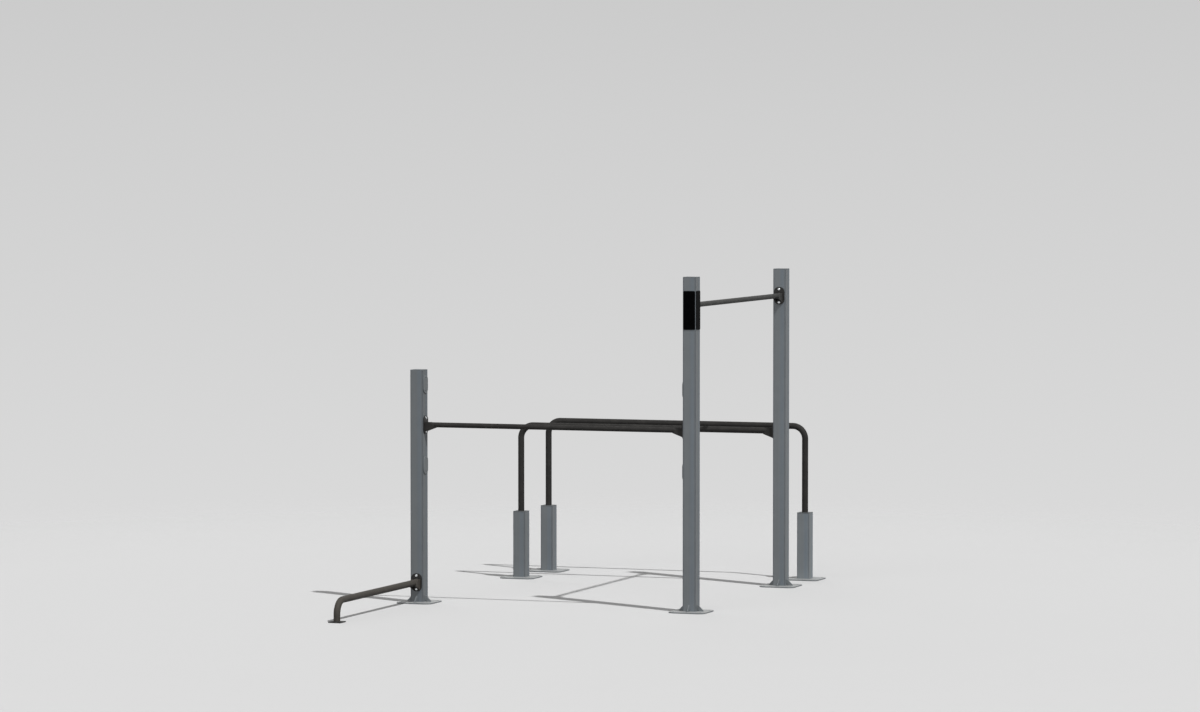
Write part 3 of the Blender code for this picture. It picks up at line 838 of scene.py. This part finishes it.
def rib(root, face):
    """A triangular rib with blunt ends, its inner corner cut away, and four weld beads.

    Here X runs out from the post, Y up and Z through the rib."""
    corners = [
        (root + RIB_CLIP, face),
        (root + RIB_LENGTH, face),
        (root + RIB_LENGTH, face + RIB_TOE),
        (root + RIB_TOE, face + RIB_HEIGHT),
        (root, face + RIB_HEIGHT),
        (root, face + RIB_CLIP),
    ]
    half = RIB_THICKNESS / 2
    parts = [slab(rounded(corners, RIB_CORNER, RIB_CORNER_STEPS), -half, half, RIB_EDGE)]
    for side in (-half, half):
        along_plate = np.array([(root + RIB_CLIP, face, side), (root + RIB_LENGTH, face, side)])
        up_post = np.array([(root, face + RIB_CLIP, side), (root, face + RIB_HEIGHT, side)])
        parts.append(bead(along_plate, (0, 1, 0), RIB_BEAD))
        parts.append(bead(up_post, (1, 0, 0), RIB_BEAD))
    return parts


def top_plate(node, leg):
    """A pedestal's top plate: outline, upper face, round hole and lower face, all one ring."""
    low, high = box(node)
    outline = rounded(rectangle(high[0] - low[0], high[1] - low[1]), POST_CORNER)
    radius = leg / 2 + LEG_PLAY
    profile = edge(low[2], high[2], PLATE_EDGE)
    outside = [lift(inset(outline, depth), height) for depth, height in profile]
    rays = unit(outline)
    bore = plain_bore(2 * radius, low[2], high[2])
    inside = [lift(rays * size, height) for size, height in bore]
    return sheet(np.stack([*outside, *inside]) + ground_point(node), True, True)


def fixing_plate(bore, low, high):
    """The plate of a fixing: flanges and blanking plates share its outline and its two holes."""
    hole = np.array([0.0, BOLT_SPACING / 2])
    return holed_plate(FLANGE_WIDTH, FLANGE_HEIGHT, FLANGE_CORNER, hole, bore, low, high, PLATE_EDGE)


def bracket(diameter):
    """A flange with its two bolt holes, and what is welded on it: two gussets and the beads.

    X runs across the post's face, Y up and Z out of it."""
    low, high = GAP, GAP + FLANGE_THICKNESS
    flange = fixing_plate(plain_bore(BOLT_HOLE, low, high), low, high)
    radius = diameter / 2
    corners = [
        (high, -radius - GUSSET_DROP),
        (high + GUSSET_LENGTH, -radius),
        (high + GUSSET_SHOULDER, radius),
        (high, radius),
    ]
    side_on = rounded(corners, GUSSET_CORNER, GUSSET_CORNER_STEPS)
    to_face = [(0, 0, 1), (0, 1, 0), (1, 0, 0)]
    welded = []
    for side in (1, -1):
        inner = side * (radius + GAP)
        outer = side * (radius + GAP + GUSSET_THICKNESS)
        welded += moved([slab(side_on, min(inner, outer), max(inner, outer), GUSSET_EDGE)], 0, to_face)
        foot = np.array([(outer, -radius - GUSSET_DROP, high), (outer, radius, high)])
        welded.append(bead(foot, (0, 0, 1), GUSSET_BEAD))
        lean = (GUSSET_LENGTH - GUSSET_SHOULDER) / diameter
        reach = high + GUSSET_SHOULDER + lean * radius
        rise = SLANT_REACH * radius
        slant = np.array([(inner, rise, reach - lean * rise), (inner, -rise, reach + lean * rise)])
        welded.append(bead(slant, (1, 0, 0), GUSSET_BEAD))
    ring = circle(radius, high)
    welded.append(bead(ring, (0, 0, 1), BAR_BEAD, closed=True))
    return flange, welded


def bolt(seat, tip):
    """A dome-head bolt on Z, from the bottom of its hexagon socket over the head to its tip."""
    flats = SOCKET_FLATS / 2
    top = seat + HEAD_HEIGHT
    bottom = top - SOCKET_DEPTH
    rise = HEAD_HEIGHT - HEAD_RIM
    head = HEAD_DIAMETER / 2
    shank = BOLT_DIAMETER / 2
    angle = np.radians(DOME_ANGLES)
    dome = [(head * math.sin(a), seat + HEAD_RIM + rise * math.cos(a)) for a in angle]
    crown = dome[0][1]
    profile = [
        (0, bottom - SOCKET_CONE),
        (flats, bottom),
        (flats, crown - SOCKET_CHAMFER),
        (flats + SOCKET_CHAMFER * SOCKET_FLARE, crown),
        *dome,
        (head, seat + HEAD_EDGE),
        (head - HEAD_EDGE, seat),
        (shank, seat),
        (shank, tip + TIP_CHAMFER),
        (shank - TIP_CHAMFER, tip),
        (0, tip),
    ]
    return turned(profile, hexagonal=3)


def screw(face, tip):
    """A countersunk screw on Z with a hexagon socket in its flat head."""
    flats = SOCKET_FLATS / 2
    head = SCREW_DIAMETER / 2
    shank = BOLT_DIAMETER / 2
    profile = [
        (0, face - SCREW_SOCKET_DEPTH - SOCKET_CONE),
        (flats, face - SCREW_SOCKET_DEPTH),
        (flats, face - SOCKET_CHAMFER),
        (flats + SOCKET_CHAMFER * SOCKET_FLARE, face),
        (head - SCREW_EDGE, face),
        (head, face - HEAD_EDGE),
        (shank, face + shank - head),
        (shank, tip + TIP_CHAMFER),
        (shank - TIP_CHAMFER, tip),
        (0, tip),
    ]
    return turned(profile, hexagonal=3)


def fastened(base, ends, shape, material, slot, origin, axes):
    """The upper and the lower fastener of a fixing, each as long as its node."""
    out = axes[2]
    for level, side in (("upper", 1), ("lower", -1)):
        node = f"{base}_{level}_{ends}"
        low, high = box(node)
        spread = sorted([float((low - origin) @ out), float((high - origin) @ out)])
        seat = spread[1] - (HEAD_HEIGHT if ends == "bolt" else 0)
        made = [shape(seat, spread[0])]
        lifted = [(points + (0, side * BOLT_SPACING / 2, 0), *joined) for points, *joined in made]
        add([node], [material], moved(lifted, origin, axes))


def sign(node):
    """A thin bare plate on a face of the front tall post, with rounded corners and edges."""
    low, high = box(node)
    size = high - low
    axis = int(size.argmin())
    other = 1 - axis
    outline = rounded(rectangle(size[other], size[2]), SIGN_CORNER)
    axes = np.zeros((3, 3))
    axes[0, other] = 1
    axes[1, 2] = 1
    axes[2, axis] = 1
    half = size[axis] / 2
    return moved([slab(outline, -half, half, SIGN_EDGE)], (low + high) / 2, axes)


def straight_bar(node, wall):
    """A straight bar along the longest side of its node's box."""
    low, high = box(node)
    axis = int((high - low).argmax())
    start, end = (low + high) / 2, (low + high) / 2
    start[axis], end[axis] = low[axis], high[axis]
    return [pipe(np.linspace(start, end, BAR_STEPS + 1), UP, high[2] - low[2], wall)]


# Finishes. The posts and pedestals differ a little in shade, as in the photograph. Each shade is partly the
# paint's own and partly painted light and shade
POST_FINISHES = {
    "low_post": post_paint("low_post_powder_coat", 0.905),
    "front_tall_post": post_paint("front_tall_post_powder_coat", 0.95),
    "rear_tall_post": post_paint("rear_tall_post_powder_coat", 0.975),
    "near_pedestal": post_paint("near_pedestal_powder_coat", 0.945),
    "far_left_pedestal": post_paint("far_left_pedestal_powder_coat", 1.00),
    "far_right_pedestal": post_paint("far_right_pedestal_powder_coat", 1.085),
}
BLANK_FINISH = post_paint("blanking_plate_powder_coat", 0.93, drawn=False)
# The base plates' upward faces are painted pale: partly dust, partly painted sheen
PLATE_FINISH = post_paint("base_plate_powder_coat", 0.96, drawn=False, dust_and_sheen=0.75)
LID_FINISH = post_paint("top_plate_powder_coat", 0.76, drawn=False)
# The bars' coats are lighter than their near-black paint and have little specular: their tone is partly
# painted sheen
BAR_FINISH = bar_paint("bar_powder_coat", colour(48, 47, 46), colour(60, 59, 58), 0.14, 0.05)
GRIP_FINISH = bar_paint("grip_powder_coat", colour(69, 69, 68), colour(81, 81, 80), 0.18, 0.05)
PUSH_FINISH = bar_paint("push_up_powder_coat", colour(73, 70, 66), colour(86, 82, 77), 0.18, 0.05)
FLANGE_FINISH = bar_paint("flange_powder_coat", colour(26, 25, 24), colour(35, 34, 33), 0.10, 0.30)
CAP_FINISH = cap_plastic()
ZINC_FINISH = zinc()
SIGN_FINISH = sign_black()

# Fixings: the post each bar end or blanking plate lies on, and the coat of each bar end's gussets
BAR_ENDS = {
    "pull_up_bar_front": "front_tall_post",
    "pull_up_bar_rear": "rear_tall_post",
    "low_bar_left": "low_post",
    "low_bar_right": "front_tall_post",
    "near_parallel_bar": "rear_tall_post",
    "push_up_bar": "low_post",
}
# The gussets and beads take their bar's lighter coat; on the gussets the lighter tone is partly painted light
WELDED_FINISHES = {
    "pull_up_bar_front": GRIP_FINISH,
    "pull_up_bar_rear": GRIP_FINISH,
    "low_bar_left": BAR_FINISH,
    "low_bar_right": BAR_FINISH,
    "near_parallel_bar": BAR_FINISH,
    "push_up_bar": PUSH_FINISH,
}
BLANKED = {
    f"{post}_{level}_blanking_plate": post
    for post in ("low_post", "front_tall_post")
    for level in ("upper", "lower")
}
BAR_PLACES = {
    name: face_place(post, f"{name}_upper_bolt", f"{name}_lower_bolt")
    for name, post in BAR_ENDS.items()
}
BLANK_PLACES = {
    name: face_place(post, f"{name}_upper_screw", f"{name}_lower_screw")
    for name, post in BLANKED.items()
}

# Posts, caps and base plates
for name in ("low_post", "front_tall_post", "rear_tall_post"):
    places = [BAR_PLACES[end] for end, post in BAR_ENDS.items() if post == name]
    places += [BLANK_PLACES[plate] for plate, post in BLANKED.items() if post == name]
    sleeves = [part for place in places for part in insert(*place)]
    add([name], [POST_FINISHES[name]], [square_tube(name), *sleeves])
    add([name + "_cap"], [CAP_FINISH], [cap(name + "_cap")])
    plate = name + "_base_plate"
    add([plate], [PLATE_FINISH], base_plate(plate, name, ribbed=True))

# Pedestals
FRAME_RADIUS = middle("near_parallel_bar")[1] - box("near_parallel_bar")[0][1]
FRAME_DIAMETER = 2 * FRAME_RADIUS
for name in ("near_pedestal", "far_left_pedestal", "far_right_pedestal"):
    add([name], [POST_FINISHES[name]], [square_tube(name)])
    plate = name + "_base_plate"
    add([plate], [PLATE_FINISH], base_plate(plate, name, ribbed=False))
    lid = top_plate(name + "_top_plate", FRAME_DIAMETER)
    add([name + "_top_plate"], [LID_FINISH], [lid])
    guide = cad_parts[name + "_guide_plate"]
    guide.data.materials.clear()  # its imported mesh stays
    guide.data.materials.append(FLANGE_FINISH)

# Bars
add(["pull_up_bar"], [GRIP_FINISH], straight_bar("pull_up_bar", GRIP_WALL))
add(["low_bar"], [BAR_FINISH], straight_bar("low_bar", GRIP_WALL))

low, high = box("near_parallel_bar")
start = np.array([low[0] + FRAME_RADIUS, (low[1] + high[1]) / 2, low[2]])
end = np.array([high[0], start[1], high[2] - FRAME_RADIUS])
corner = np.array([start[0], start[1], end[2]])
near_path = np.concatenate([[start], bend(corner, UP, RIGHT), [end]])
near_bar = [pipe(near_path, BACK, FRAME_DIAMETER, FRAME_WALL)]
add(["near_parallel_bar"], [BAR_FINISH], near_bar)

low, high = box("far_parallel_bar")
start = np.array([low[0] + FRAME_RADIUS, (low[1] + high[1]) / 2, low[2]])
end = np.array([high[0] - FRAME_RADIUS, start[1], low[2]])
rise = np.array([0, 0, high[2] - FRAME_RADIUS - low[2]])
far_path = np.concatenate([[start], bend(start + rise, UP, RIGHT), bend(end + rise, RIGHT, -UP), [end]])
far_bar = [pipe(far_path, BACK, FRAME_DIAMETER, FRAME_WALL)]
add(["far_parallel_bar"], [BAR_FINISH], far_bar)

low, high = box("push_up_bar")
start = np.array([(low[0] + high[0]) / 2, low[1] + FRAME_RADIUS, low[2]])
end = np.array([start[0], high[1], high[2] - FRAME_RADIUS])
corner = np.array([start[0], start[1], end[2]])
push_path = np.concatenate([[start], bend(corner, UP, BACK), [end]])
push_bar = [pipe(push_path, RIGHT, FRAME_DIAMETER, FRAME_WALL)]
add(["push_up_bar"], [PUSH_FINISH], push_bar)

# Foot plate of the push-up bar
low, high = box("push_up_bar_foot_plate")
bore = plain_bore(FOOT_HOLE, low[2], high[2])
hole = np.array([FOOT_REACH, FOOT_REACH])
width = high[0] - low[0]
foot = holed_plate(width, width, FOOT_CORNER, hole, bore, low[2], high[2], PLATE_EDGE)
ring = circle(FRAME_RADIUS, high[2])
foot.append(bead(ring, (0, 0, 1), BAR_BEAD, closed=True))
foot = moved(foot, ground_point("push_up_bar_foot_plate"), np.eye(3))
add(["push_up_bar_foot_plate"], [FLANGE_FINISH], foot)

# Bar ends
for name, place in BAR_PLACES.items():
    grip = name.startswith(("pull_up", "low_bar"))
    bar_low, bar_high = box("low_bar" if grip else "near_parallel_bar")
    diameter = bar_high[1] - bar_low[1]
    flange, welded = (moved(parts, *place) for parts in bracket(diameter))
    add([name + "_bracket"], [FLANGE_FINISH, WELDED_FINISHES[name]], flange, welded)
    fastened(name, "bolt", bolt, ZINC_FINISH, "zinc_bolts", *place)

# Blanking plates
for name, place in BLANK_PLACES.items():
    low, high = GAP, GAP + BLANK_THICKNESS
    parts = fixing_plate(sunk_bore(low, high), low, high)
    add([name], [BLANK_FINISH], moved(parts, *place))
    fastened(name, "screw", screw, BLANK_FINISH, "post_paint", *place)

# Signs
for name in ("front_sign_plate", "side_sign_plate"):
    add([name], [SIGN_FINISH], sign(name))


def seen_ray(maker):
    """1 for the rays that show the background: straight, mirrored or through glass."""
    kinds = ("Is Camera Ray", "Is Glossy Ray", "Is Transmission Ray")
    straight, mirrored, through = (maker.node("ShaderNodeLightPath", output=kind) for kind in kinds)
    either = maker.math("MAXIMUM", straight, mirrored)
    return maker.math("MAXIMUM", either, through)


def floor():
    """A wide round floor that keeps the station's shadow and fades into the backdrop.

    It is pale to the rays that show the background and dim to all others, so that it throws little
    light up at the station."""
    radii = np.array(FLOOR_RINGS, float)[:, None]
    angle = np.linspace(0, math.tau, FLOOR_SIDES, endpoint=False)
    rings = np.stack([radii * np.cos(angle), radii * np.sin(angle), 0 * radii * angle], -1)
    mesh = mesh_of("floor", [sheet(rings + FLOOR_MIDDLE, round_columns=True)])
    mesh.flip_normals()  # an open sheet was turned downwards
    piece = bpy.data.objects.new("floor", mesh)
    bpy.context.scene.collection.objects.link(piece)
    material, maker = finish("floor_paper")
    place = maker.where()
    away = maker.node("ShaderNodeVectorMath", {"operation": "DISTANCE"}, {0: place, 1: FLOOR_MIDDLE}, "Value")
    fade = maker.step(away, *FLOOR_FADE)
    pale = maker.node("ShaderNodeBsdfDiffuse", None, {"Color": (*FLOOR_PALE, 1)})
    dim = maker.node("ShaderNodeBsdfDiffuse", None, {"Color": (*FLOOR_DIM, 1)})
    lit = maker.node("ShaderNodeMixShader", None, {0: seen_ray(maker), 1: dim, 2: pale})
    clear = maker.node("ShaderNodeBsdfTransparent")
    shader = maker.node("ShaderNodeMixShader", None, {0: fade, 1: lit, 2: clear})
    maker.node("ShaderNodeOutputMaterial", None, {"Surface": shader})
    mesh.materials.append(material)


def backdrop():
    """A pale backdrop, brighter towards the floor, and a plain soft sky that lights the station."""
    world = bpy.data.worlds.new("studio")
    bpy.context.scene.world = world
    maker = Maker(world)
    direction = maker.where("Generated")
    height = maker.node("ShaderNodeSeparateXYZ", None, {0: direction}, output=2)
    upper = maker.graded(height, (0.0, BACKDROP_TOP_AT), (BACKDROP_HORIZON, BACKDROP_TOP))
    lower = maker.graded(height, (BACKDROP_LOW_AT, 0.0), (BACKDROP_LOW, upper))
    seen = maker.node("ShaderNodeBackground", None, {"Color": (1, 1, 1, 1), "Strength": lower})
    light = maker.node("ShaderNodeBackground", None, {"Color": (1, 1, 1, 1), "Strength": SKY_STRENGTH})
    shader = maker.node("ShaderNodeMixShader", None, {0: seen_ray(maker), 1: light, 2: seen})
    maker.node("ShaderNodeOutputWorld", None, {"Surface": shader})


def sun(name, source, strength, angle, mirrored=True):
    """A distant lamp that shines from a direction, and that glossy surfaces mirror or not."""
    data = bpy.data.lights.new(name, "SUN")
    data.energy = strength
    data.angle = angle
    lamp = bpy.data.objects.new(name, data)
    lamp.rotation_mode = "QUATERNION"
    lamp.rotation_quaternion = Vector(source).to_track_quat("Z", "Y")
    lamp.visible_glossy = mirrored
    bpy.context.scene.collection.objects.link(lamp)


def camera():
    """The photograph's camera, level from side to side and dipped a little."""
    data = bpy.data.cameras.new("camera")
    data.sensor_fit = "HORIZONTAL"
    data.sensor_width = SENSOR_WIDTH
    data.lens = SENSOR_WIDTH * FOCAL_PIXELS / PICTURE_WIDTH
    data.clip_end = CAMERA_REACH
    view = bpy.data.objects.new("camera", data)
    view.location = CAMERA_AT
    view.rotation_euler = (math.pi / 2 - CAMERA_DIP, 0, CAMERA_TURN)
    bpy.context.scene.collection.objects.link(view)
    bpy.context.scene.camera = view


floor()
backdrop()
sun("key", KEY_FROM, KEY_STRENGTH, KEY_ANGLE)
sun("fill", FILL_FROM, FILL_STRENGTH, FILL_ANGLE)
sun("rear", REAR_FROM, REAR_STRENGTH, REAR_ANGLE, mirrored=False)
camera()
bpy.context.scene.view_settings.view_transform = "Standard"

bpy.context.view_layer.update()
